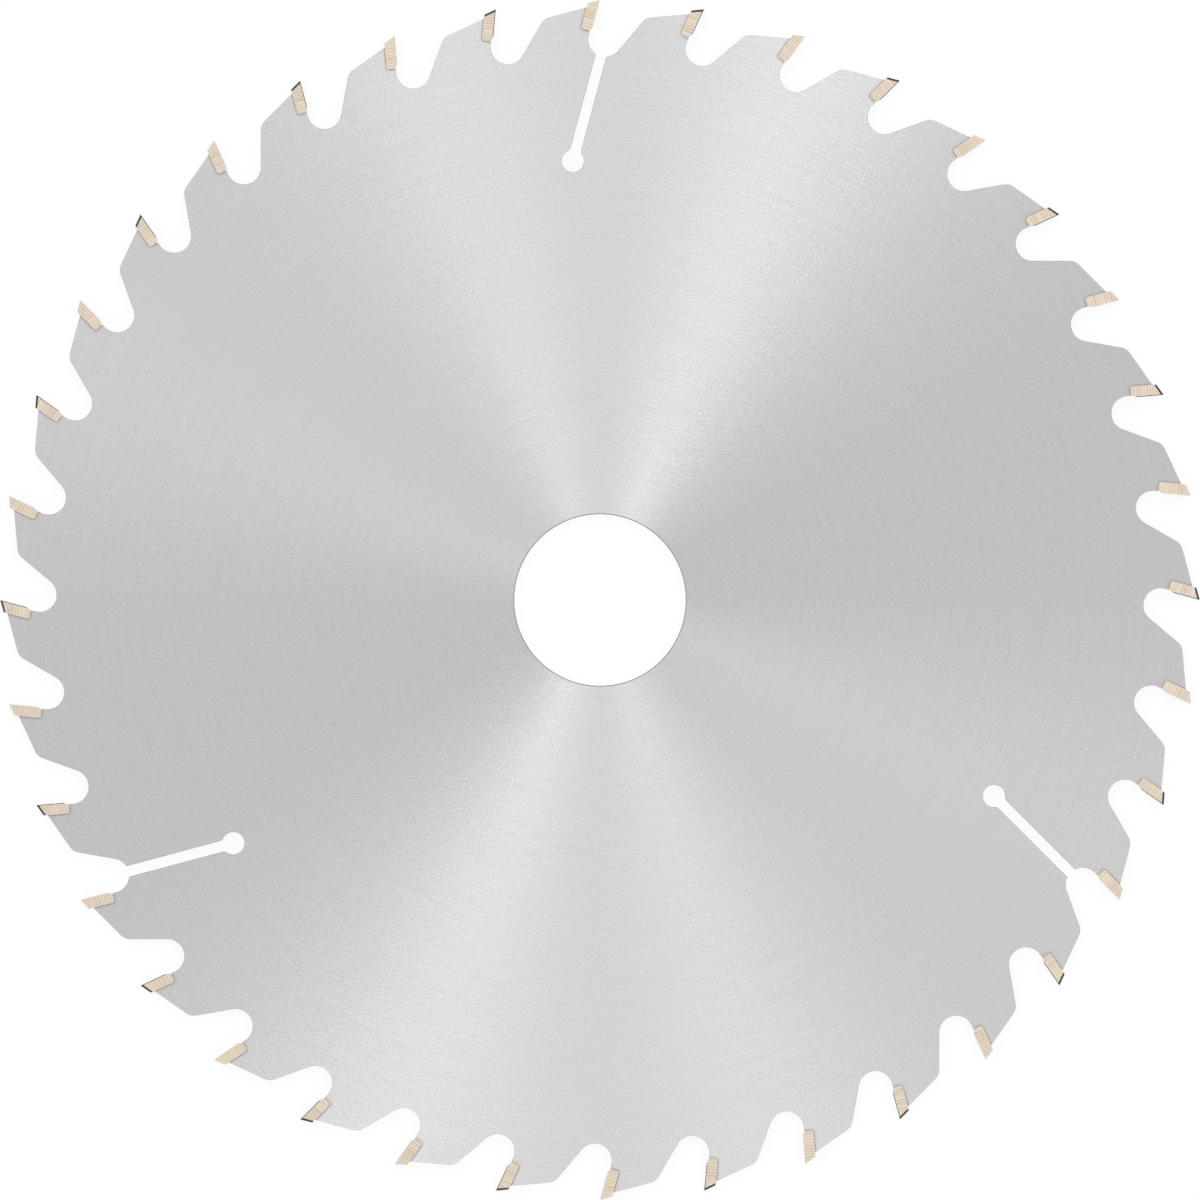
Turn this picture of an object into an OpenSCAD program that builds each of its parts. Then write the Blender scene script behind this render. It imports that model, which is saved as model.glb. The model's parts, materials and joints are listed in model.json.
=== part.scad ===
// Carbide-tipped circular saw blade, lying flat: the blade's axis is Z and its mid-plane is Z = 0.
// The origin is the centre of the bore. Seen from +Z the teeth point clockwise.
// Tooth 1 is at the top (+Y), and the teeth are numbered clockwise from it.

/* [Plate] */
// Diameter over the points of the teeth
blade_d = 210; // [180:1:260]
// Thickness of the steel plate
plate_t = 1.6; // [1.2:0.1:2.2]
// Diameter of the bore
bore_d = 30; // [15.9:0.1:40]
// Chamfer on both edges of the bore
bore_chamfer = 0.2; // [0.05:0.05:0.4]

/* [Teeth] */
// Number of teeth
teeth = 36; // [24:2:48]
// Hook angle, from the tooth's radius to its cutting face
hook_angle = 15; // [5:1:20]
// Clearance angle behind the tooth's point, from the tangent to its top
clearance_angle = 15; // [10:1:18]
// Angle from the tooth's radius to the flank that falls to the next gullet
flank_angle = 30; // [20:1:40]
// Radius of the heel between the tooth's land and its flank
heel_r = 2.3; // [1:0.1:3]
// How far the tip's top stands above the tooth's land
land_drop = 0.65; // [0.2:0.05:1]
// Radius of the gullet
gullet_r = 3; // [2:0.1:3.6]
// Straight breast between the tip's seat and the gullet
breast_l = 0.6; // [0.3:0.1:2]
// How far the breast lies behind the cutting face
breast_setback = 0.32; // [0.1:0.02:0.5]

/* [Carbide tips] */
// How far a tip stands out past each side of the plate
side_set = 0.4; // [0.2:0.05:0.7]
// Thickness of a tip, from its face to its back
tip_t = 1.9; // [1.5:0.1:3]
// Length of a tip along its face
tip_l = 5.7; // [4:0.1:9]
// Radius of the tip's lower back corner
tip_corner_r = 0.35; // [0.1:0.05:0.6]
// Length of the chamfer at the foot of the face
foot_chamfer_l = 1; // [0.4:0.1:1.6]
// Depth of the chamfer at the foot of the face
foot_chamfer_d = 0.4; // [0.2:0.05:0.6]
// Top bevel, leaning left and right in turn
top_bevel = 10; // [5:1:15]
// Face bevel, leaning left and right in turn
face_bevel = 3; // [1:0.5:6]
// Side clearance along the tip, narrowing towards the bore
radial_relief = 1; // [0.5:0.1:1.5]
// Side clearance across the tip, narrowing towards its back
tangential_relief = 2.5; // [1:0.1:3]

/* [Braze] */
// Thickness of the braze between a tip and its seat
braze_t = 0.12; // [0.05:0.01:0.2]
// How far the braze lies below each side of the plate
braze_recess = 0.05; // [0.02:0.01:0.15]

/* [Expansion slots] */
// Number of expansion slots, spread evenly over the gullets
slots = 3; // [2:1:6]
// Width of a slot
slot_w = 1.9; // [1:0.1:2.4]
// Length of a slot, from the gullet's centre to the relief hole's centre
slot_l = 22; // [14:1:32]
// Diameter of the relief hole at the slot's end
slot_hole_d = 3.9; // [3:0.1:7]
// Radius of the corners between the slot and its relief hole
slot_corner_r = 1; // [0.5:0.1:1.5]

/* [Hidden] */
$fn = 96;
blade_r = blade_d / 2;
pitch = 360 / teeth;
kerf = plate_t + 2 * side_set;
// Tangent curves overlap the line they blend into by this much, so that the two cross cleanly
blend = 0.002;
// How far a cutter reaches past what it cuts
past = 5;

function tip_name(n) = str("tip_", n < 10 ? "0" : "", n);

// Tip frame: the origin is the tooth's point, +Y runs up the cutting face and +X points ahead of it.
// The tip lies behind the face, at negative X, and its seat is one braze layer further out.
seat_t = tip_t + braze_t;
seat_l = tip_l + braze_t;
seat_corner_r = tip_corner_r + braze_t;
corner_c = [tip_corner_r - tip_t, tip_corner_r - tip_l];
top_angle = hook_angle + clearance_angle;
land_n = [-sin(top_angle), cos(top_angle)];
land_dir = [-cos(top_angle), -sin(top_angle)];
flank_n = [-sin(90 - flank_angle + hook_angle), cos(90 - flank_angle + hook_angle)];
flank_dir = [flank_n.y, -flank_n.x];
breast_x = -breast_setback;
gullet_c = [breast_x + gullet_r - blend, -seat_l - breast_l];

function turned(p, a) = [p.x * cos(a) - p.y * sin(a), p.x * sin(a) + p.y * cos(a)];
// The same point of the tooth that lies a number of pitches anticlockwise, in this tooth's tip frame
hub = turned([0, -blade_r], hook_angle);
function along_rim(p, pitches) = hub + turned(p - hub, pitches * pitch);
// Height of the tooth's land at a given X
function land_y(x) = tan(top_angle) * x - land_drop / cos(top_angle);
// Where the lines p.n = a and p.m = b cross
function crossing(n, a, m, b) = [a * m.y - b * n.y, b * n.x - a * m.x] / (n.x * m.y - n.y * m.x);
function arc(c, r, from, to, steps) =
    [for (i = [0:steps]) c + r * [cos(from + (to - from) * i / steps), sin(from + (to - from) * i / steps)]];

// The flank is tangent to the gullet of the next tooth anticlockwise
next_gullet_c = along_rim(gullet_c, 1);
land_at = -land_drop;
flank_at = next_gullet_c * flank_n - gullet_r + blend;
heel_c = crossing(land_n, land_at - heel_r + blend, flank_n, flank_at - heel_r + blend);
heel_corner = crossing(land_n, land_at, flank_n, flank_at);
// Foot of the flank of the tooth ahead, on this tooth's gullet
flank_foot = along_rim(next_gullet_c - (gullet_r - blend) * flank_n, -1);
flank_ahead_dir = turned(flank_dir, -pitch);
corner_steps = 6;

// Places a tip frame at tooth n
module at_tooth(n) {
    rotate([0, 0, -(n - 1) * pitch])
        translate([0, blade_r, 0])
            rotate([0, 0, -hook_angle])
                children();
}

// Outline of a tip blank before its top, face and sides are ground
module tip_outline() {
    polygon(concat(
        [[0, 0], [0, foot_chamfer_l - tip_l], [-foot_chamfer_d, -tip_l]],
        arc(corner_c, tip_corner_r, 270, 180, corner_steps),
        [[-tip_t, -tip_t * tan(top_angle)]]));
}

// Removes what lies on the +Y side of the XZ plane
module ground_away() {
    reach = 2 * (tip_l + tip_t + kerf);
    translate([-reach / 2, 0, -reach / 2])
        cube(reach);
}

// A tip whose sharp corner is on the +Z side
module ground_tip() {
    difference() {
        linear_extrude(kerf, center = true) tip_outline();
        // Top bevel
        translate([0, 0, kerf / 2]) rotate([0, 0, top_angle]) rotate([-top_bevel, 0, 0]) ground_away();
        // Face bevel
        translate([0, 0, kerf / 2]) rotate([0, face_bevel, 0]) rotate([0, 0, -90]) ground_away();
        // Side clearances
        for (side = [0, 1])
            mirror([0, 0, side])
                translate([0, 0, kerf / 2])
                    rotate([radial_relief, -tangential_relief, 0])
                        rotate([90, 0, 0])
                            ground_away();
    }
}

module tip(n) {
    color([0.82, 0.74, 0.64])
        at_tooth(n)
            mirror([0, 0, n % 2 == 0 ? 1 : 0])
                ground_tip();
}

// Space in front of a tooth's face, over its land and down into its gullet
module tooth_space() {
    polygon(concat(
        [
            flank_foot,
            flank_foot + flank_ahead_dir * (norm(heel_corner - next_gullet_c) + 2 * past),
            heel_corner + land_n * 2 * past,
            heel_corner + land_dir * past,
            [-seat_t, land_y(-seat_t)],
        ],
        arc(corner_c, seat_corner_r, 180, 270, corner_steps),
        [[breast_x, -seat_l], [breast_x, gullet_c.y], gullet_c]));
    translate(gullet_c) circle(gullet_r);
}

// What is rounded off the heel
module heel_trim() {
    difference() {
        polygon([
            heel_c,
            heel_c + (heel_r + past) * land_n,
            heel_corner + past * (land_n + flank_n),
            heel_c + (heel_r + past) * flank_n,
        ]);
        translate(heel_c) circle(heel_r);
    }
}

// Slot from the gullet's centre to its relief hole, with rounded corners where the two meet
module expansion_slot() {
    corner_x = slot_w / 2 + slot_corner_r;
    corner_y = sqrt(pow(slot_hole_d / 2 + slot_corner_r, 2) - pow(corner_x, 2));
    translate(gullet_c - [0, slot_l]) {
        circle(slot_hole_d / 2);
        translate([-slot_w / 2, 0]) square([slot_w, slot_l]);
        difference() {
            polygon([[0, 0], [corner_x, corner_y], [-corner_x, corner_y]]);
            for (side = [-1, 1])
                translate([side * corner_x, corner_y]) circle(slot_corner_r + blend);
        }
    }
}

module blade_plate() {
    color([0.78, 0.78, 0.78])
        difference() {
            linear_extrude(plate_t, center = true)
                difference() {
                    circle(blade_r);
                    for (n = [1:teeth]) at_tooth(n) tooth_space();
                    for (n = [1:teeth]) at_tooth(n) heel_trim();
                    for (i = [0:slots - 1]) at_tooth(1 + round(i * teeth / slots)) expansion_slot();
                }
            cylinder(h = plate_t + 2 * past, d = bore_d, center = true);
            for (side = [0, 1])
                mirror([0, 0, side])
                    translate([0, 0, plate_t / 2 - bore_chamfer])
                        cylinder(h = 2 * bore_chamfer, r1 = bore_d / 2, r2 = bore_d / 2 + 2 * bore_chamfer);
        }
}

// Layer behind and under one tip, from the tooth's land to the foot of the face
module braze_seam() {
    foot_x = -max(foot_chamfer_d, breast_setback);
    linear_extrude(plate_t - 2 * braze_recess, center = true)
        polygon(concat(
            [[-seat_t, land_y(-seat_t)]],
            arc(corner_c, seat_corner_r, 180, 270, corner_steps),
            [[foot_x, -seat_l], [foot_x, -tip_l]],
            arc(corner_c, tip_corner_r, 270, 180, corner_steps),
            [[-tip_t, land_y(-tip_t)]]));
}

module braze_seams() {
    color([0.62, 0.57, 0.48])
        for (n = [1:teeth]) at_tooth(n) braze_seam();
}

blade_plate();
braze_seams();
for (n = [1:teeth])
    tip(n);
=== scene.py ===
"""A carbide-tipped circular saw blade that lies flat on a pale floor, seen from straight above.

Sizes are in millimetres unless a class says otherwise, angles are in degrees and colours are linear.
Meshes are scaled to metres when they are made. The blade's axis is Z, the origin is the centre of the
bore, and the teeth point clockwise seen from +Z. A tip frame has its origin at a tooth's point, +Y up
the cutting face and +X ahead of it.
"""

import json
import logging
import math
from dataclasses import dataclass, field
from enum import Enum
from typing import Any, Sequence

import bmesh
import bpy
from mathutils import Matrix, Vector
from mathutils.geometry import delaunay_2d_cdt

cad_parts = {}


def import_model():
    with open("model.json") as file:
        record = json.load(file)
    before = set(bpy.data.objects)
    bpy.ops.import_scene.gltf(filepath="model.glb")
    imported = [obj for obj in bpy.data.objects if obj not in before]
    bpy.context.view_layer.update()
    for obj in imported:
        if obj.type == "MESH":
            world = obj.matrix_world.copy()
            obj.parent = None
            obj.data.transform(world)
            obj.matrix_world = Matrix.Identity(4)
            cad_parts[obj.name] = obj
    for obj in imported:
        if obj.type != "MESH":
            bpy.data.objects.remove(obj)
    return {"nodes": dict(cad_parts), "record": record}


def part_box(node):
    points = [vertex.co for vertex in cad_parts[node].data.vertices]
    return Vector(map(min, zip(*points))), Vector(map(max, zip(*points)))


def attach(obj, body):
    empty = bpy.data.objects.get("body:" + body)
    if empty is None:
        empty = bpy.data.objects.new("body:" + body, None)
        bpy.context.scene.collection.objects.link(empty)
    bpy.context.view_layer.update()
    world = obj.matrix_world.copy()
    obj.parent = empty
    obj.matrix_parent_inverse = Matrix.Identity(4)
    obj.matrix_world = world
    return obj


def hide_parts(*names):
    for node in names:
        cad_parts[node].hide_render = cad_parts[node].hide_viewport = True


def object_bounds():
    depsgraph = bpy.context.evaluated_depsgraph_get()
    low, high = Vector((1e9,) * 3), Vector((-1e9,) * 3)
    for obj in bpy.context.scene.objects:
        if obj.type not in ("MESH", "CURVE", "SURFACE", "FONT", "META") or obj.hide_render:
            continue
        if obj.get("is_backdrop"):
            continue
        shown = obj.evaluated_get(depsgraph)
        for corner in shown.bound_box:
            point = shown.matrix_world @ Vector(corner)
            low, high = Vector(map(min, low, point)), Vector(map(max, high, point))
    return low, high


Socket = bpy.types.NodeSocket
Materials = Sequence[bpy.types.Material]
Colour = tuple[float, float, float]
Span = tuple[float, float]

MM = 0.001
BODY = "root"
TIP_PLACE = "tip_place"
LOG = logging.getLogger("saw_blade")

WHITE: Colour = (1.0, 1.0, 1.0)
# The blade's axis, and what a vector is multiplied by to leave only its level part
AXIS = (0.0, 0.0, 1.0)
LEVEL = (1.0, 1.0, 0.0)
# Where most of a noise's values lie, and where nearly all of them do
NOISE_MOST: Span = (0.3, 0.7)
NOISE_NEARLY_ALL: Span = (0.2, 0.8)
# Edges that turn by more than this are shaded as sharp
CREASE_ANGLE = 20.0
# A corner of an inset outline moves by at most the depth divided by this
SHARPEST_CORNER = 0.5
# Asks delaunay_2d_cdt for the triangles inside the outlines, with the holes left open
FILL_WITH_HOLES = 2


class Lean(Enum):
    """Which side of the blade a tip's sharp corner is on."""

    UP = 1
    DOWN = -1


class Part(Enum):
    """Which of a piece's two materials a face carries, as the number of its slot."""

    FACE = 0
    EDGE = 1


class Blend(Enum):
    """How a colour goes over another one."""

    COVER = "MIX"
    TINT = "MULTIPLY"


def turned(p: Vector, degrees: float) -> Vector:
    """A 2D point turned anticlockwise about the origin."""
    return Matrix.Rotation(math.radians(degrees), 2) @ p


def direction(degrees: float) -> Vector:
    """The 2D unit vector at an angle from +X."""
    return Vector((math.cos(math.radians(degrees)), math.sin(math.radians(degrees))))


def arc(centre: Vector, radius: float, start: float, end: float, steps: int) -> list[Vector]:
    """Points along a circular arc.

    Args:
        centre: The circle's centre.
        radius: The circle's radius.
        start: Angle of the first point.
        end: Angle of the last point.
        steps: Number of straight steps.

    Returns:
        The points, with both ends.
    """
    return [centre + radius * direction(start + (end - start) * i / steps) for i in range(steps + 1)]


def crossing(n: Vector, a: float, m: Vector, b: float) -> Vector:
    """Where two lines cross.

    Args:
        n: Normal of the first line.
        a: The first line's distance from the origin, along n.
        m: Normal of the second line.
        b: The second line's distance from the origin, along m.

    Returns:
        The crossing point.
    """
    return Vector((a * m.y - b * n.y, b * n.x - a * m.x)) / (n.x * m.y - n.y * m.x)


def inset(loop: list[Vector], depth: float) -> list[Vector]:
    """A clockwise closed outline moved towards its inside.

    Args:
        loop: The outline's points, clockwise.
        depth: How far to move it.

    Returns:
        As many points as the outline has.
    """
    moved = []
    for before, here, after in zip(loop[-1:] + loop[:-1], loop, loop[1:] + loop[:1]):
        into = (here - before).normalized()
        out = (after - here).normalized()
        inward = Vector((into.y, -into.x))
        normal = (inward + Vector((out.y, -out.x))).normalized()
        moved.append(here + normal * depth / max(normal.dot(inward), SHARPEST_CORNER))
    return moved


@dataclass(frozen=True)
class ToothForm:
    """Sizes of the blade and its teeth. The first three come from the frame, the rest match the solids."""

    blade_r: float
    plate_t: float
    bore_r: float
    teeth: int = 36
    hook: float = 15.0
    clearance: float = 15.0
    flank: float = 30.0
    heel_r: float = 2.3
    land_drop: float = 0.65
    gullet_r: float = 3.0
    breast_l: float = 0.6
    breast_setback: float = 0.32
    tip_t: float = 1.9
    tip_l: float = 5.7
    corner_r: float = 0.35
    braze_t: float = 0.12
    slots: int = 3
    slot_w: float = 1.9
    slot_l: float = 22.0
    slot_hole_r: float = 1.95
    slot_corner_r: float = 1.0
    gullet_steps: int = 40
    heel_steps: int = 12
    corner_steps: int = 6
    hole_steps: int = 48

    @property
    def pitch(self) -> float:
        """Angle from one tooth to the next."""
        return 360.0 / self.teeth

    @property
    def top_angle(self) -> float:
        """Angle of a tip's top in the tip frame."""
        return self.hook + self.clearance

    @property
    def seat_t(self) -> float:
        """Depth of a tip's seat behind the cutting face."""
        return self.tip_t + self.braze_t

    @property
    def seat_l(self) -> float:
        """Length of a tip's seat down from the tooth's point."""
        return self.tip_l + self.braze_t

    @property
    def corner_c(self) -> Vector:
        """Centre of the round corner at a tip's lower back, in its tip frame."""
        return Vector((self.corner_r - self.tip_t, self.corner_r - self.tip_l))

    @property
    def gullet_c(self) -> Vector:
        """Centre of a tooth's gullet, in its tip frame."""
        return Vector((self.gullet_r - self.breast_setback, -self.seat_l - self.breast_l))

    def along_rim(self, p: Vector, pitches: float) -> Vector:
        """The same point of the tooth that lies a number of pitches anticlockwise, in this tip frame."""
        hub = turned(Vector((0.0, -self.blade_r)), self.hook)
        return hub + turned(p - hub, pitches * self.pitch)

    def in_blade(self, p: Vector, tooth: int) -> Vector:
        """A point of a tip frame, in the blade's frame."""
        return turned(turned(p, -self.hook) + Vector((0.0, self.blade_r)), -tooth * self.pitch)

    def frame_of(self, tooth: int) -> Matrix:
        """Where a tooth's tip frame is, in metres.

        Args:
            tooth: The tooth's number, clockwise from 0 at the top.

        Returns:
            The move from the tip frame to the blade's frame.
        """
        turn = Matrix.Rotation(math.radians(-tooth * self.pitch), 4, "Z")
        lift = Matrix.Translation((0.0, self.blade_r * MM, 0.0))
        return turn @ lift @ Matrix.Rotation(math.radians(-self.hook), 4, "Z")

    def has_slot(self, tooth: int) -> bool:
        """Whether an expansion slot starts in a tooth's gullet."""
        return tooth in {round(i * self.teeth / self.slots) for i in range(self.slots)}

    def slot_path(self) -> list[Vector]:
        """Down one side of an expansion slot, round its relief hole and up the other side.

        Returns:
            The points in the tip frame, from the gullet and back to it.
        """
        half = self.slot_w / 2
        corner_x = half + self.slot_corner_r
        corner_y = math.sqrt((self.slot_hole_r + self.slot_corner_r) ** 2 - corner_x**2)
        lean = math.degrees(math.atan2(corner_y, corner_x))
        mouth = self.slot_l - math.sqrt(self.gullet_r**2 - half**2)
        left = [Vector((-half, mouth))]
        left += arc(Vector((-corner_x, corner_y)), self.slot_corner_r, 0.0, -lean, self.corner_steps)
        right = [Vector((-p.x, p.y)) for p in reversed(left)]
        centre = Vector((0.0, 0.0))
        round_hole = arc(centre, self.slot_hole_r, 180.0 - lean, 360.0 + lean, self.hole_steps)
        hole = self.gullet_c - Vector((0.0, self.slot_l))
        return [hole + p for p in left + round_hole[1:-1] + right]

    def tooth_outline(self, tooth: int) -> list[Vector]:
        """The plate's edge from the foot of one tooth's flank to the end of its gullet.

        Args:
            tooth: The tooth's number, clockwise from 0 at the top.

        Returns:
            The points in the blade's frame, clockwise.
        """
        land_angle = 90.0 + self.top_angle
        flank_angle = 180.0 - self.flank + self.hook
        land_n = direction(land_angle)
        flank_n = direction(flank_angle)
        next_gullet = self.along_rim(self.gullet_c, 1)
        flank_at = next_gullet.dot(flank_n) - self.gullet_r
        heel_c = crossing(land_n, -self.land_drop - self.heel_r, flank_n, flank_at - self.heel_r)
        land_y = (-self.land_drop + self.seat_t * land_n.x) / land_n.y
        points = [next_gullet - self.gullet_r * flank_n]
        points += arc(heel_c, self.heel_r, flank_angle, land_angle, self.heel_steps)
        points.append(Vector((-self.seat_t, land_y)))
        points += arc(self.corner_c, self.corner_r + self.braze_t, 180.0, 270.0, self.corner_steps)
        points.append(Vector((-self.breast_setback, -self.seat_l)))
        end = flank_angle + 180.0 - self.pitch
        round_gullet = arc(self.gullet_c, self.gullet_r, 180.0, end, self.gullet_steps)
        if self.has_slot(tooth):
            half = self.slot_w / 2
            points += [p for p in round_gullet if p.x < self.gullet_c.x - half]
            points += self.slot_path()
            points += [p for p in round_gullet if p.x > self.gullet_c.x + half][:-1]
        else:
            points += round_gullet[:-1]
        return [self.in_blade(p, tooth) for p in points]


class Graph:
    """Adds nodes to one node tree and links them."""

    # Sockets of a Mix node's colours, which share their names with its other sockets
    COLOUR_A = 6
    COLOUR_B = 7
    COLOUR_RESULT = 2

    def __init__(self, tree: bpy.types.NodeTree) -> None:
        """Starts from an empty tree."""
        self.tree = tree
        tree.nodes.clear()

    def fill(self, entry: Socket, value: Any) -> None:
        """Links an input to a socket, or sets it to a value.

        Args:
            entry: The input.
            value: The socket or the value.
        """
        if isinstance(value, Socket):
            self.tree.links.new(value, entry)
        else:
            entry.default_value = value

    def node(self, kind: str, inputs: dict[Any, Any] | None = None, **settings: Any) -> bpy.types.Node:
        """Adds a node.

        Args:
            kind: The node's Blender type.
            inputs: Input name or number to a value, or to a socket to link it to.
            **settings: The node's own settings.

        Returns:
            The new node.
        """
        node = self.tree.nodes.new(kind)
        for name, value in settings.items():
            setattr(node, name, value)
        for name, value in (inputs or {}).items():
            self.fill(node.inputs[name], value)
        return node

    def place(self) -> Socket:
        """The point in its object's frame, in metres. For the blade's pieces it is the blade's frame."""
        return self.node("ShaderNodeTexCoord").outputs["Object"]

    def tip_place(self) -> Socket:
        """The point in its tip frame, in metres."""
        return self.node("ShaderNodeAttribute", attribute_name=TIP_PLACE).outputs["Vector"]

    def math(self, operation: str, *values: Any) -> Socket:
        """The result of a Math node on numbers or sockets."""
        return self.node("ShaderNodeMath", dict(enumerate(values)), operation=operation).outputs[0]

    def vector(self, operation: str, *values: Any) -> Socket:
        """The vector that a Vector Math node makes of vectors or sockets."""
        node = self.node("ShaderNodeVectorMath", dict(enumerate(values)), operation=operation)
        return node.outputs["Vector"]

    def length(self, vector: Socket) -> Socket:
        """How long a vector is."""
        return self.node("ShaderNodeVectorMath", {0: vector}, operation="LENGTH").outputs["Value"]

    def scaled(self, vector: Socket, scale: Any) -> Socket:
        """A vector times a number or socket."""
        node = self.node("ShaderNodeVectorMath", {0: vector, "Scale": scale}, operation="SCALE")
        return node.outputs["Vector"]

    def spun(self, vector: Socket, angle: Any) -> Socket:
        """A vector turned about Z, by an angle in radians."""
        inputs = {"Vector": vector, "Angle": angle}
        return self.node("ShaderNodeVectorRotate", inputs, rotation_type="Z_AXIS").outputs[0]

    def upright(self, height: Socket) -> Socket:
        """A vector along Z."""
        return self.node("ShaderNodeCombineXYZ", {"Z": height}).outputs[0]

    def split(self, vector: Socket) -> tuple[Socket, Socket]:
        """The X and the Y of a vector."""
        parts = self.node("ShaderNodeSeparateXYZ", {0: vector}).outputs
        return parts["X"], parts["Y"]

    def noise(self, vector: Socket, scale: float, detail: float, roughness: float = 0.5) -> Socket:
        """Smooth noise about 0.5.

        Args:
            vector: Where to read it.
            scale: Features for each unit of length.
            detail: Number of finer layers.
            roughness: Strength of the finer layers.

        Returns:
            The noise's value.
        """
        inputs = {"Vector": vector, "Scale": scale, "Detail": detail, "Roughness": roughness}
        return self.node("ShaderNodeTexNoise", inputs, noise_dimensions="3D").outputs[0]

    def remap(self, value: Socket, span: Span, onto: Span) -> Socket:
        """A value moved from one range to another, and held at its ends.

        Args:
            value: What to move.
            span: The range that it comes from.
            onto: The range that it goes to.

        Returns:
            The value in the new range.
        """
        return self.node("ShaderNodeMapRange", dict(enumerate((value, *span, *onto)))).outputs[0]

    def ramp(self, value: Socket, span: Span, dark: Colour, light: Colour) -> Socket:
        """A colour picked by a value.

        Args:
            value: What picks it.
            span: The values where it is darkest and where it is lightest.
            dark: The darkest colour.
            light: The lightest colour.

        Returns:
            The colour.
        """
        node = self.node("ShaderNodeValToRGB", {0: value})
        for element, place, colour in zip(node.color_ramp.elements, span, (dark, light)):
            element.position = place
            element.color = (*colour, 1.0)
        return node.outputs[0]

    def grey(self, value: Socket) -> Socket:
        """A grey as light as a value."""
        inputs = {"Red": value, "Green": value, "Blue": value}
        return self.node("ShaderNodeCombineColor", inputs).outputs[0]

    def mix_colour(self, share: Any, a: Any, b: Any, blend: Blend = Blend.COVER) -> Socket:
        """One colour with another over it.

        Args:
            share: How much of the second colour goes on.
            a: The first colour, or its socket.
            b: The second colour, or its socket.
            blend: How it goes on.

        Returns:
            The mixed colour.
        """
        node = self.node("ShaderNodeMix", {0: share}, data_type="RGBA", blend_type=blend.value)
        for number, colour in ((self.COLOUR_A, a), (self.COLOUR_B, b)):
            self.fill(node.inputs[number], (*colour, 1.0) if isinstance(colour, tuple) else colour)
        return node.outputs[self.COLOUR_RESULT]

    def mix_shader(self, share: Socket, first: bpy.types.Node, second: bpy.types.Node) -> Socket:
        """One shader with a share of another in it."""
        inputs = {0: share, 1: first.outputs[0], 2: second.outputs[0]}
        return self.node("ShaderNodeMixShader", inputs).outputs[0]

    def bump(self, height: Socket, depth: float) -> Socket:
        """A normal roughened by a height, where a height of 1 is this many metres."""
        inputs = {"Height": height, "Distance": depth, "Strength": 1.0}
        return self.node("ShaderNodeBump", inputs).outputs[0]

    def surface(self, inputs: dict[str, Any]) -> None:
        """Ends a material with a Principled shader that has these inputs."""
        shader = self.node("ShaderNodeBsdfPrincipled", inputs)
        self.node("ShaderNodeOutputMaterial", {"Surface": shader.outputs[0]})

    def seen_directly(self) -> Socket:
        """1 on rays from the camera, a mirror or through glass, and 0 on rays that only carry light.

        Returns:
            The 1 or 0.
        """
        path = self.node("ShaderNodeLightPath")
        seen = self.math("MAXIMUM", path.outputs["Is Camera Ray"], path.outputs["Is Glossy Ray"])
        return self.math("MAXIMUM", seen, path.outputs["Is Transmission Ray"])


def new_material(name: str) -> tuple[bpy.types.Material, Graph]:
    """A material and the graph that fills it.

    Args:
        name: The material's name.

    Returns:
        The material and its graph.
    """
    material = bpy.data.materials.new(name)
    material.use_nodes = True
    return material, Graph(material.node_tree)


@dataclass(frozen=True)
class TexturedFinish:
    """What finishes with lines or blots in them have in common.

    Attributes:
        dark: Colour where the lines or blots are low.
        light: Colour where they are high.
        roughness: Roughness where they are low and where they are high.
        depth: How deep they are.
        metallic: How far the finish is a metal's, up to 1.
        tone_span: How high they are where the colour is darkest and where it is lightest.
    """

    dark: Colour
    light: Colour
    roughness: Span
    depth: float
    metallic: float = 1.0
    tone_span: Span = NOISE_MOST

    def inputs(self, g: Graph, height: Socket) -> dict[str, Any]:
        """What the lines or blots put into a shader.

        Args:
            g: The material's graph.
            height: How high they are, about 0.5.

        Returns:
            The shader's inputs.
        """
        return {
            "Base Color": g.ramp(height, self.tone_span, self.dark, self.light),
            "Metallic": self.metallic,
            "Roughness": g.remap(height, NOISE_NEARLY_ALL, self.roughness),
            "Normal": g.bump(height, self.depth * MM),
        }


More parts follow.
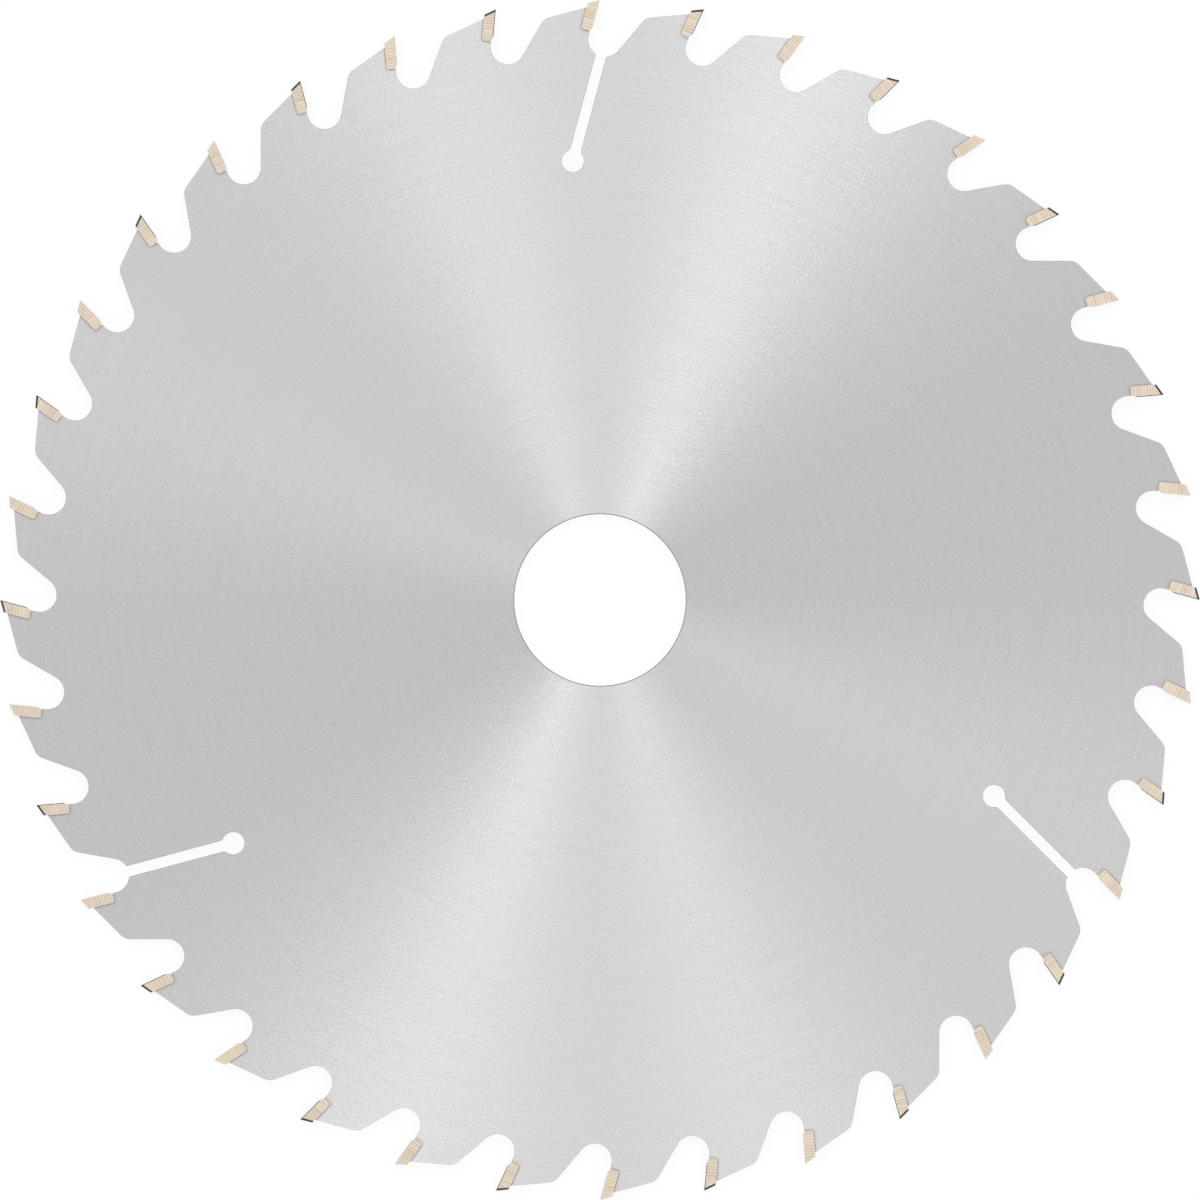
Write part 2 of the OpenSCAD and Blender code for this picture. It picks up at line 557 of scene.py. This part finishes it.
@dataclass(frozen=True)
class SeatTintAndShade:
    """Warm, darker steel round each tip's seat: heat tint from the brazing and painted shade by the tip.

    Attributes:
        colour: What the full tint and painted shade multiply the steel's colour by.
        reach: How far the tint and painted shade spread from the seat.
        fade: How quickly it falls off. At 1 it falls evenly.
        blot: Size of the blots in the tint and painted shade.
        blot_share: How much the blots leave of it, least and most.
        headroom: How far the seat is taken to go on past the tooth's point.
    """

    colour: Colour = (0.89, 0.84, 0.765)
    reach: float = 0.6
    fade: float = 1.6
    blot: float = 0.5
    blot_share: Span = (0.6, 1.0)
    headroom: float = 10.0

    def distance(self, g: Graph, place: Socket, form: ToothForm) -> Socket:
        """How far a point of the plate is from the nearest seat.

        Args:
            g: The material's graph.
            place: The point in the blade's frame, in metres.
            form: Sizes of the teeth.

        Returns:
            The distance in metres.
        """
        pitch = math.radians(form.pitch)
        angle = g.math("ARCTAN2", *g.split(place))
        nearest = g.math("MULTIPLY", g.math("ROUND", g.math("DIVIDE", angle, pitch)), pitch)
        from_point = g.vector("SUBTRACT", g.spun(place, nearest), (0.0, form.blade_r * MM, 0.0))
        own = g.spun(from_point, math.radians(form.hook))
        half = Vector((form.seat_t / 2, (form.seat_l + self.headroom) / 2, 0.0))
        centre = Vector((-half.x, half.y - form.seat_l, 0.0))
        corner = form.corner_r + form.braze_t
        across = g.vector("ABSOLUTE", g.vector("SUBTRACT", own, tuple(centre * MM)))
        inner = (half - Vector((corner, corner, 0.0))) * MM
        past = g.vector("MULTIPLY", g.vector("SUBTRACT", across, tuple(inner)), LEVEL)
        outside = g.vector("MAXIMUM", past, (0.0, 0.0, 0.0))
        return g.math("SUBTRACT", g.length(outside), corner * MM)

    def shaded_and_tinted(self, g: Graph, place: Socket, form: ToothForm, bare_steel: Socket) -> Socket:
        """The plate's colour with the heat tint and painted shade round the seats on it.

        Args:
            g: The material's graph.
            place: The point in the blade's frame, in metres.
            form: Sizes of the teeth.
            bare_steel: The colour without the tint and painted shade.

        Returns:
            The stained colour.
        """
        share = g.remap(self.distance(g, place, form), (0.0, self.reach * MM), (1.0, 0.0))
        blots = g.remap(g.noise(place, 1.0 / (self.blot * MM), detail=2.0), NOISE_MOST, self.blot_share)
        amount = g.math("MULTIPLY", g.math("POWER", share, self.fade), blots)
        # Heat tint from the brazing, and painted shade where the tip stands proud of the plate
        return g.mix_colour(1.0, bare_steel, g.mix_colour(amount, WHITE, self.colour), Blend.TINT)


@dataclass(frozen=True)
class GroundSteel:
    """Satin steel, ground in circles round the bore: light spreads along the radius, and grain sparkles.

    Attributes:
        colour: The steel's colour.
        roughness: Roughness where the texture is low and where it is high.
        anisotropy: How much wider light spreads along the radius than round the bore, up to 1.
        ring_pitch: Distance from one ring to the next.
        ring_turns: How much a ring changes on its way round the bore.
        grain: Size of the grain.
        grain_share: The grain's share of the texture. The rings have the rest.
        tone_change: How far the texture darkens and lightens the colour.
        facets: Leaning facets in the length of one grain.
        facet_lean: How far a facet leans round the bore at most, as a slope.
        seat_tint_and_shade: The heat tint and painted shade round the tips' seats.
    """

    colour: Colour = (0.618, 0.618, 0.618)
    roughness: Span = (0.561, 0.391)
    anisotropy: float = 0.932
    ring_pitch: float = 0.16
    ring_turns: float = 5.0
    grain: float = 0.27
    grain_share: float = 0.75
    tone_change: float = 0.035
    facets: float = 1.1
    facet_lean: float = 0.066
    # Heat tint and painted shade round the tips' seats
    seat_tint_and_shade: SeatTintAndShade = SeatTintAndShade()

    def texture(self, g: Graph, place: Socket, flat: Socket, outward: Socket) -> Socket:
        """Grain mixed with rings round the bore.

        Args:
            g: The material's graph.
            place: The point in the blade's frame, in metres.
            flat: The level part of the point.
            outward: The direction from the bore to the point.

        Returns:
            A noise about 0.5.
        """
        round_bore = g.scaled(outward, self.ring_turns)
        across = g.upright(g.math("DIVIDE", g.length(flat), self.ring_pitch * MM))
        rings = g.noise(g.vector("ADD", round_bore, across), 1.0, detail=2.0)
        grain = g.noise(place, 1.0 / (self.grain * MM), detail=1.0)
        ring_part = g.math("MULTIPLY", rings, 1.0 - self.grain_share)
        return g.math("MULTIPLY_ADD", grain, self.grain_share, ring_part)

    def sparkle(self, g: Graph, place: Socket, outward: Socket) -> Socket:
        """A normal that leans to and fro round the bore from facet to facet.

        Args:
            g: The material's graph.
            place: The point in the blade's frame, in metres.
            outward: The direction from the bore to the point.

        Returns:
            The normal.
        """
        around = g.vector("CROSS_PRODUCT", AXIS, outward)
        facets = g.noise(place, self.facets / (self.grain * MM), detail=1.0)
        lean = g.remap(facets, (0.0, 1.0), (-self.facet_lean, self.facet_lean))
        level = g.node("ShaderNodeNewGeometry").outputs["Normal"]
        return g.vector("NORMALIZE", g.vector("ADD", level, g.scaled(around, lean)))

    def material(self, form: ToothForm) -> bpy.types.Material:
        """The finish of the plate's two faces.

        Args:
            form: Sizes of the teeth, for the heat tint and painted shade at their seats.

        Returns:
            The material.
        """
        material, g = new_material("ground_steel")
        place = g.place()
        flat = g.vector("MULTIPLY", place, LEVEL)
        outward = g.vector("NORMALIZE", flat)
        texture = self.texture(g, place, flat, outward)
        tone = g.remap(texture, NOISE_MOST, (1.0 - self.tone_change, 1.0 + self.tone_change))
        bare_steel = g.mix_colour(1.0, self.colour, g.grey(tone), Blend.TINT)
        g.surface({
            # The base colour carries the seats' heat tint and painted shade
            "Base Color": self.seat_tint_and_shade.shaded_and_tinted(g, place, form, bare_steel),
            "Metallic": 1.0,
            "Roughness": g.remap(texture, NOISE_NEARLY_ALL, self.roughness),
            "Anisotropic": self.anisotropy,
            "Tangent": outward,
            "Normal": self.sparkle(g, place, outward),
        })
        return material


@dataclass(frozen=True)
class CutSteel(TexturedFinish):
    """The plate's cut edges: darker than its faces, with fine lines straight across the thickness.

    Attributes:
        line: Width of a line.
        line_draw: How quickly a line changes along its length, as a share of how it does across.
    """

    dark: Colour = (0.33, 0.325, 0.315)
    light: Colour = (0.47, 0.465, 0.455)
    roughness: Span = (0.34, 0.52)
    depth: float = 0.004
    line: float = 0.12
    line_draw: float = 0.06

    def material(self) -> bpy.types.Material:
        """The finish of the plate's rim, slots and bore.

        Returns:
            The material.
        """
        material, g = new_material("cut_steel")
        drawn = g.vector("MULTIPLY", g.place(), (1.0, 1.0, self.line_draw))
        lines = g.noise(drawn, 1.0 / (self.line * MM), detail=2.0, roughness=0.6)
        g.surface(self.inputs(g, lines))
        return material


@dataclass(frozen=True)
class CreamCarbide(TexturedFinish):
    """Sides of a tip: pale and warm, with fine lines across it and greyer edges.

    Attributes:
        rim: Colour at the edges.
        line: Distance from one line to the next.
        line_length: Length over which a line changes.
        drift_lines: Number of lines over which their spacing changes.
        line_wander: How far the lines leave an even spacing, in radians.
        wave_share: How strong the evenly spaced part of the lines is.
        tip_shift: How far the lines of one tip can be from another's.
        rim_width: How far the rim's colour reaches from the face and the back.
        end_rim_width: How far it reaches from the top and the foot.
        rim_share: How much of the rim's colour there is at an edge.
    """

    dark: Colour = (0.566, 0.478, 0.382)
    light: Colour = (0.704, 0.606, 0.494)
    roughness: Span = (0.68, 0.54)
    depth: float = 0.006
    metallic: float = 0.75
    tone_span: Span = (0.15, 0.85)
    rim: Colour = (0.625, 0.575, 0.50)
    line: float = 0.49
    line_length: float = 16.0
    drift_lines: float = 2.5
    line_wander: float = 9.0
    wave_share: float = 0.3
    tip_shift: float = 40.0
    rim_width: float = 0.5
    end_rim_width: float = 0.85
    rim_share: float = 0.75

    def edge_distance(self, g: Graph, place: Socket, form: ToothForm) -> Socket:
        """How far a point of a tip's side is from its nearest edge, as a share of that edge's rim.

        Args:
            g: The material's graph.
            place: The point in the tip frame, in metres.
            form: Sizes of the tip.

        Returns:
            0 at an edge, and 1 where its rim ends.
        """
        x, y = g.split(place)
        top_n = direction(90.0 + form.top_angle)
        across = g.math("MINIMUM", g.math("MULTIPLY", x, -1.0), g.math("ADD", x, form.tip_t * MM))
        above = g.math("MULTIPLY_ADD", x, -top_n.x, g.math("MULTIPLY", y, -top_n.y))
        along = g.math("MINIMUM", above, g.math("ADD", y, form.tip_l * MM))
        from_side = g.math("DIVIDE", across, self.rim_width * MM)
        return g.math("MINIMUM", from_side, g.math("DIVIDE", along, self.end_rim_width * MM))

    def lines(self, g: Graph, place: Socket) -> Socket:
        """Lines across a tip, at a spacing that drifts and differs from tip to tip.

        Args:
            g: The material's graph.
            place: The point in the tip frame, in metres.

        Returns:
            How high the lines are, about 0.5.
        """
        shift = g.math("MULTIPLY", g.node("ShaderNodeObjectInfo").outputs["Random"], self.tip_shift)
        scale = (1.0 / (self.line_length * MM), 1.0 / (self.drift_lines * self.line * MM), 0.0)
        along = g.vector("MULTIPLY", place, scale)
        drift = g.noise(g.vector("ADD", along, g.upright(shift)), 1.0, detail=1.0)
        _, height = g.split(place)
        turns = g.math("MULTIPLY_ADD", height, math.tau / (self.line * MM), shift)
        wave = g.math("SINE", g.math("MULTIPLY_ADD", drift, self.line_wander, turns))
        return g.math("MULTIPLY_ADD", wave, self.wave_share, drift)

    def material(self, form: ToothForm) -> bpy.types.Material:
        """The finish of the tips' sides.

        Args:
            form: Sizes of the tips.

        Returns:
            The material.
        """
        material, g = new_material("cream_carbide")
        place = g.tip_place()
        inputs = self.inputs(g, self.lines(g, place))
        to_rim = g.remap(self.edge_distance(g, place, form), (0.0, 1.0), (self.rim_share, 0.0))
        inputs["Base Color"] = g.mix_colour(to_rim, inputs["Base Color"], self.rim)
        g.surface(inputs)
        return material


@dataclass(frozen=True)
class DarkCarbide(TexturedFinish):
    """Ground top, face and foot of a tip: dark grey carbide with fine grinding lines along the face.

    Attributes:
        glancing: Colour of what it mirrors at a low angle.
        line: Width of a line.
        line_length: Length over which a line changes.
    """

    dark: Colour = (0.10, 0.098, 0.092)
    light: Colour = (0.135, 0.132, 0.125)
    roughness: Span = (0.28, 0.42)
    depth: float = 0.003
    glancing: Colour = (0.27, 0.265, 0.255)
    line: float = 0.05
    line_length: float = 4.0

    def material(self) -> bpy.types.Material:
        """The finish of the tips' ground faces.

        Returns:
            The material.
        """
        material, g = new_material("dark_carbide")
        along = 1.0 / (self.line_length * MM)
        drawn = g.vector("MULTIPLY", g.tip_place(), (along, along, 1.0 / (self.line * MM)))
        lines = g.noise(drawn, 1.0, detail=2.0)
        g.surface({**self.inputs(g, lines), "Specular Tint": (*self.glancing, 1.0)})
        return material


@dataclass(frozen=True)
class DullBraze(TexturedFinish):
    """Braze in the seam round a tip: dull, warm grey and slightly uneven.

    Attributes:
        blot: Size of a blot.
    """

    dark: Colour = (0.60, 0.55, 0.495)
    light: Colour = (0.75, 0.695, 0.63)
    roughness: Span = (0.4, 0.6)
    depth: float = 0.01
    metallic: float = 0.9
    blot: float = 0.35

    def material(self) -> bpy.types.Material:
        """The finish of the braze.

        Returns:
            The material.
        """
        material, g = new_material("dull_braze")
        blots = g.noise(g.place(), 1.0 / (self.blot * MM), detail=3.0, roughness=0.6)
        g.surface(self.inputs(g, blots))
        return material


@dataclass(frozen=True)
class PaleFloor:
    """White floor that shows as white and keeps a faint shadow.

    Attributes:
        colour: The floor's colour in the light.
        white_share: How far it shows as plain white where it is seen directly.
        clouds: Faint clouds in each metre.
        cloud_tone: What the clouds multiply the colour by, least and most.
    """

    colour: Colour = (0.92, 0.92, 0.92)
    white_share: float = 0.9
    clouds: float = 3.0
    cloud_tone: Span = (0.985, 1.0)

    def material(self) -> bpy.types.Material:
        """The finish of the floor.

        Returns:
            The material.
        """
        material, g = new_material("pale_floor")
        clouds = g.remap(g.noise(g.place(), self.clouds, detail=2.0), NOISE_MOST, self.cloud_tone)
        colour = g.mix_colour(1.0, self.colour, g.grey(clouds), Blend.TINT)
        lit = g.node("ShaderNodeBsdfDiffuse", {"Color": colour})
        white = g.node("ShaderNodeEmission", {"Color": (*WHITE, 1.0), "Strength": 1.0})
        share = g.math("MULTIPLY", g.seen_directly(), self.white_share)
        g.node("ShaderNodeOutputMaterial", {"Surface": g.mix_shader(share, lit, white)})
        return material


def finished_mesh(name: str, bm: bmesh.types.BMesh, materials: Materials) -> bpy.types.Mesh:
    """Turns a mesh built in millimetres into one in metres, with crisp edges.

    Args:
        name: The mesh's name.
        bm: What was built. It is freed.
        materials: The materials, in the order of the slots.

    Returns:
        The finished mesh.
    """
    bm.transform(Matrix.Scale(MM, 4))
    mesh = bpy.data.meshes.new(name)
    bm.to_mesh(mesh)
    bm.free()
    for material in materials:
        mesh.materials.append(material)
    mesh.shade_smooth()
    mesh.set_sharp_from_angle(angle=math.radians(CREASE_ANGLE))
    return mesh


def in_scene(name: str, data: bpy.types.ID) -> bpy.types.Object:
    """A new object in the scene.

    Args:
        name: The object's name.
        data: Its mesh, lamp or camera.

    Returns:
        The object.
    """
    thing = bpy.data.objects.new(name, data)
    bpy.context.scene.collection.objects.link(thing)
    return thing


def placed(name: str, mesh: bpy.types.Mesh, slot: str, *nodes: str) -> bpy.types.Object:
    """Puts a piece in the scene, in place of the solids it stands for.

    Args:
        name: The piece's name.
        mesh: Its mesh, in the blade's frame.
        slot: The material slot of the record. It is not used.
        *nodes: The nodes that it replaces.

    Returns:
        The new object.
    """
    piece = in_scene(name, mesh)
    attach(piece, BODY)
    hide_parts(*nodes)
    LOG.info("%s: %d faces", name, len(mesh.polygons))
    return piece


@dataclass
class BladePlate:
    """The steel plate: ground faces, cut edges with a small break, bore and expansion slots."""

    form: ToothForm
    face: GroundSteel = field(default_factory=GroundSteel)
    edge: CutSteel = field(default_factory=CutSteel)
    edge_break: float = 0.05
    bore_chamfer: float = 0.2
    bore_steps: int = 240
    fill_tolerance: float = 1e-7

    def outline(self) -> list[Vector]:
        """The plate's whole rim, clockwise."""
        return [p for tooth in range(self.form.teeth) for p in self.form.tooth_outline(tooth)]

    def circle(self, radius: float) -> list[Vector]:
        """A circle round the bore's centre, clockwise."""
        return arc(Vector((0.0, 0.0)), radius, 360.0, 0.0, self.bore_steps)[:-1]

    def rings(
        self, bm: bmesh.types.BMesh, on_face: list[Vector], on_wall: list[Vector], drop: float
    ) -> list[list[bmesh.types.BMVert]]:
        """Corners of an edge that is broken where it meets the two faces.

        Args:
            bm: Where to build.
            on_face: The outline where the break meets a face.
            on_wall: The outline where it meets the wall.
            drop: How far the break goes down from the face.

        Returns:
            Four rings of corners, from the top down.
        """
        half = self.form.plate_t / 2
        levels = [(on_face, half), (on_wall, half - drop)]
        levels += [(loop, -z) for loop, z in reversed(levels)]
        return [[bm.verts.new((p.x, p.y, z)) for p in loop] for loop, z in levels]

    def build_mesh(self) -> bpy.types.Mesh:
        """Builds the two faces as triangles and the edges between them as strips.

        Returns:
            The plate's mesh, in metres.
        """
        bm = bmesh.new()
        rim = self.outline()
        small_rim = inset(rim, self.edge_break)
        bore = self.circle(self.form.bore_r)
        wide_bore = self.circle(self.form.bore_r + self.bore_chamfer)
        rim_rings = self.rings(bm, small_rim, rim, self.edge_break)
        bore_rings = self.rings(bm, wide_bore, bore, self.bore_chamfer)
        self.strip(bm, rim_rings[:2], Part.FACE)
        self.strip(bm, rim_rings[1:3], Part.EDGE)
        self.strip(bm, rim_rings[2:], Part.FACE)
        self.strip(bm, [list(reversed(ring)) for ring in bore_rings], Part.EDGE)
        flat = [p.copy() for p in small_rim + wide_bore]
        loops = [list(range(len(rim)))[::-1], list(range(len(rim), len(flat)))]
        triangles = delaunay_2d_cdt(flat, [], loops, FILL_WITH_HOLES, self.fill_tolerance)[2]
        for top, number in ((True, 0), (False, -1)):
            ring = rim_rings[number] + bore_rings[number]
            for triangle in triangles:
                corners = [ring[i] for i in triangle]
                bm.faces.new(corners if top else corners[::-1]).material_index = Part.FACE.value
        materials = (self.face.material(self.form), self.edge.material())
        return finished_mesh("blade_plate_mesh", bm, materials)

    @staticmethod
    def strip(bm: bmesh.types.BMesh, rings: Sequence[Sequence[bmesh.types.BMVert]], part: Part) -> None:
        """Joins closed rings, from the top down.

        Args:
            bm: Where to build.
            rings: The rings, each clockwise seen from above if they go round the outside.
            part: Which finish the strip carries.
        """
        for upper, lower in zip(rings, rings[1:]):
            for i in range(len(upper)):
                j = (i + 1) % len(upper)
                bm.faces.new((upper[i], upper[j], lower[j], lower[i])).material_index = part.value

    def build(self) -> bpy.types.Object:
        """Puts the plate in the scene."""
        return placed("steel_plate", self.build_mesh(), "plate_steel", "blade_plate")


@dataclass
class CarbideTips:
    """The tips: blanks with a chamfered foot, ground on the top, the face and both sides.

    Attributes:
        form: Sizes of the teeth.
        kerf: Width of a tip at its point, across the blade.
        side: Finish of the sides.
        ground: Finish of the top, the face, the foot and the back.
        foot_chamfer_l: Length of the chamfer at the foot of the face.
        foot_chamfer_d: Depth of that chamfer.
        top_bevel: Angle of the top across the blade.
        face_bevel: Angle of the face across the blade.
        radial_relief: Side clearance along the tip.
        tangential_relief: Side clearance across the tip.
        stock: What a blank has to spare on each side that is ground.
        edge_break: Width of the break on the sharp edges.
        sharp_angle: Edges that turn by more than this are broken.
        side_normal_z: Faces whose normal has more Z than this are sides.
        cut_tolerance: How near a corner counts as on a cut.
    """

    form: ToothForm
    kerf: float
    side: CreamCarbide = field(default_factory=CreamCarbide)
    ground: DarkCarbide = field(default_factory=DarkCarbide)
    foot_chamfer_l: float = 1.0
    foot_chamfer_d: float = 0.4
    top_bevel: float = 10.0
    face_bevel: float = 3.0
    radial_relief: float = 1.0
    tangential_relief: float = 2.5
    stock: float = 0.2
    edge_break: float = 0.02
    sharp_angle: float = 25.0
    side_normal_z: float = 0.6
    cut_tolerance: float = 1e-6

    def blank(self) -> list[Vector]:
        """Outline of a tip before it is ground, with spare stock on its top and face.

        Returns:
            The points in the tip frame, anticlockwise.
        """
        form = self.form
        foot = Vector((-self.foot_chamfer_d, -form.tip_l))
        chamfer = Vector((self.foot_chamfer_d, self.foot_chamfer_l)) / self.foot_chamfer_d
        points = arc(form.corner_c, form.corner_r, 180.0, 270.0, form.corner_steps)
        points += [foot, foot + chamfer * (self.foot_chamfer_d + self.stock)]
        points += [Vector((self.stock, self.stock)), Vector((-form.tip_t, self.stock))]
        return points

    def grinds(self) -> list[tuple[Vector, Vector]]:
        """The planes that the top, the face and the two sides are ground to.

        Returns:
            A point of each plane and its outward normal, for a tip that leans up.
        """
        corner = Vector((0.0, 0.0, self.kerf / 2))
        tilt = Matrix.Rotation(math.radians(-self.top_bevel), 3, "X")
        top = Matrix.Rotation(math.radians(self.form.top_angle), 3, "Z") @ tilt @ Vector((0.0, 1.0, 0.0))
        face = Matrix.Rotation(math.radians(self.face_bevel), 3, "Y") @ Vector((1.0, 0.0, 0.0))
        slope_x = math.tan(math.radians(self.tangential_relief))
        slope_y = math.tan(math.radians(self.radial_relief))
        planes = [(corner, top), (corner, face)]
        for z in (1.0, -1.0):
            planes.append((corner * z, Vector((-slope_x, -slope_y, z)).normalized()))
        return planes

    def grind(self, bm: bmesh.types.BMesh) -> None:
        """Cuts a blank down to its planes, and closes each cut.

        Args:
            bm: The blank.
        """
        for point, normal in self.grinds():
            everything = list(bm.verts) + list(bm.edges) + list(bm.faces)
            cut = bmesh.ops.bisect_plane(
                bm,
                geom=everything,
                dist=self.cut_tolerance,
                plane_co=point,
                plane_no=normal,
                clear_outer=True,
            )["geom_cut"]
            bmesh.ops.contextual_create(bm, geom=[e for e in cut if isinstance(e, bmesh.types.BMEdge)])

    def build_mesh(self, name: str, lean: Lean, materials: Materials) -> bpy.types.Mesh:
        """Builds one tip in its own frame.

        Args:
            name: The mesh's name.
            lean: Which side its sharp corner is on.
            materials: The materials of its sides and of its ground faces.

        Returns:
            The tip's mesh, in metres.
        """
        bm = bmesh.new()
        half = self.kerf / 2 + self.stock
        blank = bm.faces.new([bm.verts.new((p.x, p.y, -half)) for p in self.blank()])
        lifted = bmesh.ops.extrude_face_region(bm, geom=[blank])["geom"]
        raised = [v for v in lifted if isinstance(v, bmesh.types.BMVert)]
        bmesh.ops.translate(bm, verts=raised, vec=(0.0, 0.0, 2 * half))
        self.grind(bm)
        bmesh.ops.recalc_face_normals(bm, faces=bm.faces)
        limit = math.radians(self.sharp_angle)
        sharp = [e for e in bm.edges if e.calc_face_angle(0.0) > limit]
        bmesh.ops.bevel(
            bm, geom=sharp, offset=self.edge_break, segments=1, affect="EDGES", clamp_overlap=True
        )
        if lean is Lean.DOWN:
            bmesh.ops.scale(bm, verts=bm.verts, vec=(1.0, 1.0, -1.0))
            bmesh.ops.reverse_faces(bm, faces=bm.faces)
        bm.normal_update()
        for face in bm.faces:
            on_side = abs(face.normal.z) > self.side_normal_z
            face.material_index = Part.FACE.value if on_side else Part.EDGE.value
        return finished_mesh(name, bm, materials)

    def seat(self, mesh: bpy.types.Mesh, tooth: int) -> None:
        """Moves a tip from its own frame to its tooth, and keeps its own coordinates for its finish.

        Args:
            mesh: The tip's mesh.
            tooth: The tooth's number, clockwise from 0 at the top.
        """
        own = mesh.attributes.new(TIP_PLACE, "FLOAT_VECTOR", "POINT")
        own.data.foreach_set("vector", [c for v in mesh.vertices for c in v.co])
        mesh.transform(self.form.frame_of(tooth))

    def build(self) -> list[bpy.types.Object]:
        """Puts every tip in its seat, leaning up and down in turn.

        Returns:
            The tips, clockwise from the top.
        """
        materials = (self.side.material(self.form), self.ground.material())
        tips = []
        for tooth in range(self.form.teeth):
            lean = Lean.UP if tooth % 2 == 0 else Lean.DOWN
            name = f"{tooth + 1:02d}"
            mesh = self.build_mesh(f"carbide_mesh_{name}", lean, materials)
            self.seat(mesh, tooth)
            tips.append(placed(f"carbide_{name}", mesh, "carbide", f"tip_{name}"))
        return tips


@dataclass
class BrazeSeams:
    """The braze behind and under every tip, whose solids already have the right shape."""

    solid: bpy.types.Object
    finish: DullBraze = field(default_factory=DullBraze)

    def build(self) -> bpy.types.Object:
        """Dresses the braze.

        Returns:
            The braze's object.
        """
        self.solid.data.materials.clear()
        self.solid.data.materials.append(self.finish.material())
        LOG.info("%s: dressed", self.solid.name)
        return self.solid


@dataclass(frozen=True)
class StripBox:
    """A long lamp that hangs far off and runs from high above the blade down towards the floor.

    Its sizes are in metres and its power in watts. The azimuth is counted from +X.
    """

    name: str
    azimuth: float
    power: float
    width: float = 1.0
    length: float = 4.6
    from_vertical: float = 37.5
    distance: float = 6.0

    def build(self) -> bpy.types.Object:
        """Hangs the lamp.

        Returns:
            The lamp.
        """
        lamp = bpy.data.lights.new(self.name, "AREA")
        lamp.shape = "RECTANGLE"
        lamp.size = self.width
        lamp.size_y = self.length
        lamp.energy = self.power
        hung = in_scene(self.name, lamp)
        tilt = math.radians(self.from_vertical)
        level = direction(self.azimuth) * math.sin(tilt)
        hung.location = Vector((level.x, level.y, math.cos(tilt))) * self.distance
        hung.rotation_mode = "QUATERNION"
        hung.rotation_quaternion = hung.location.to_track_quat("Z", "Y")
        hung.visible_camera = False
        return hung


@dataclass
class Studio:
    """Floor, light and camera. Sizes are in metres, apart from the camera's lens and sensor."""

    floor_z: float
    frame_width: float
    finish: PaleFloor = field(default_factory=PaleFloor)
    floor_r: float = 5.0
    floor_steps: int = 96
    ambient: float = 0.97
    lens: float = 800.0
    sensor: float = 36.0
    view_limit: float = 50.0
    boxes: tuple[StripBox, ...] = (
        StripBox("key_box", azimuth=68.6, power=50.4),
        StripBox("second_box", azimuth=107.3, power=37.6),
        StripBox("fill_box", azimuth=132.0, power=4.1),
        StripBox("side_box", azimuth=156.3, power=17.7),
    )

    def build_floor(self) -> bpy.types.Object:
        """Lays a round floor under the blade.

        Returns:
            The floor.
        """
        bm = bmesh.new()
        bmesh.ops.create_circle(bm, cap_ends=True, segments=self.floor_steps, radius=self.floor_r)
        mesh = bpy.data.meshes.new("floor_mesh")
        bm.to_mesh(mesh)
        bm.free()
        mesh.materials.append(self.finish.material())
        floor = in_scene("floor", mesh)
        floor.location.z = self.floor_z
        floor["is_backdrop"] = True
        return floor

    def build_world(self) -> bpy.types.World:
        """Fills the room with even light, and shows it as white.

        Returns:
            The world.
        """
        world = bpy.data.worlds.new("white_room")
        world.use_nodes = True
        bpy.context.scene.world = world
        g = Graph(world.node_tree)
        light = g.node("ShaderNodeBackground", {"Color": (*WHITE, 1.0), "Strength": self.ambient})
        white = g.node("ShaderNodeBackground", {"Color": (*WHITE, 1.0), "Strength": 1.0})
        g.node("ShaderNodeOutputWorld", {"Surface": g.mix_shader(g.seen_directly(), light, white)})
        return world

    def build_camera(self) -> bpy.types.Object:
        """Hangs the camera straight above the bore, with the blade filling the frame.

        Returns:
            The camera.
        """
        camera = bpy.data.cameras.new("camera")
        camera.lens = self.lens
        camera.sensor_width = self.sensor
        camera.clip_end = self.view_limit
        hung = in_scene("camera", camera)
        hung.location.z = self.frame_width * self.lens / self.sensor
        bpy.context.scene.camera = hung
        return hung

    def build(self) -> None:
        """Builds the camera, the floor, the room and the lamps."""
        bpy.context.scene.view_settings.view_transform = "Standard"
        self.build_camera()
        self.build_floor()
        self.build_world()
        for box in self.boxes:
            box.build()


def main() -> None:
    """Loads the solids, builds and dresses the blade, and sets up the studio."""
    logging.basicConfig(level=logging.INFO, format="%(name)s: %(message)s")
    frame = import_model()
    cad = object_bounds()
    low, high = cad
    plate_low, plate_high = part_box("blade_plate")
    bore = next(m for m in frame["record"]["mounts"] if m["name"] == "arbor_bore")
    form = ToothForm(
        blade_r=(high.x - low.x) / 2 / MM,
        plate_t=(plate_high.z - plate_low.z) / MM,
        bore_r=bore["dims"]["r_mm"],
    )
    Studio(floor_z=low.z, frame_width=high.x - low.x).build()
    BladePlate(form).build()
    CarbideTips(form, kerf=(high.z - low.z) / MM).build()
    BrazeSeams(frame["nodes"]["braze_seams"]).build()


if __name__ == "__main__":
    main()
